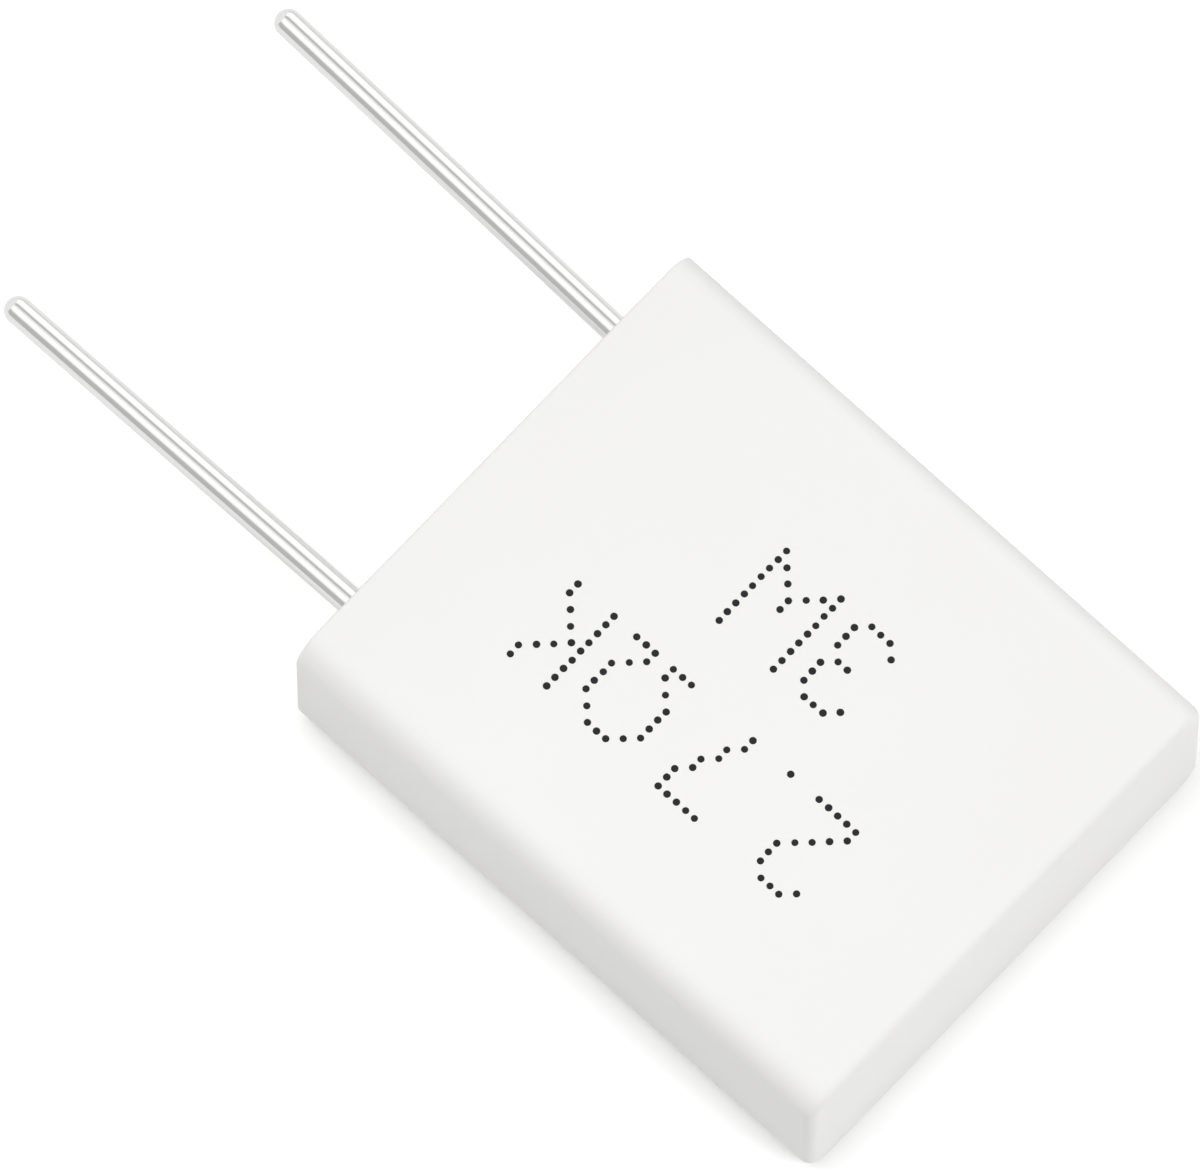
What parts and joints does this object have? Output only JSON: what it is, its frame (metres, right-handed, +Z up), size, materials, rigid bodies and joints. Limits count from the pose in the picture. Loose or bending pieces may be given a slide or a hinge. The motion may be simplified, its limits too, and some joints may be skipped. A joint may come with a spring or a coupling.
{
  "type": "cement resistor",
  "caption": "Flat white ceramic-cased cement power resistor with two nearly parallel round wire leads out of one end.",
  "frame": {"origin": "middle of the underside of the case, the broad face that it lies on", "axes": "+Y towards the leads, +Z up from the broad face that it lies on, +X across the case"},
  "size_m": [0.014, 0.029, 0.0054],
  "materials": {
    "fired_ceramic": "matte",
    "potting_cement": "matte",
    "resistance_alloy": "satin",
    "tinned_copper": "gloss",
    "marking_ink": "matte"
  },
  "bodies": {
    "root": {"ceramic_case": "fired_ceramic", "cement_fill": "potting_cement", "resistance_plate": "resistance_alloy", "lead_left": "tinned_copper", "lead_right": "tinned_copper"}
  },
  "joints": []
}
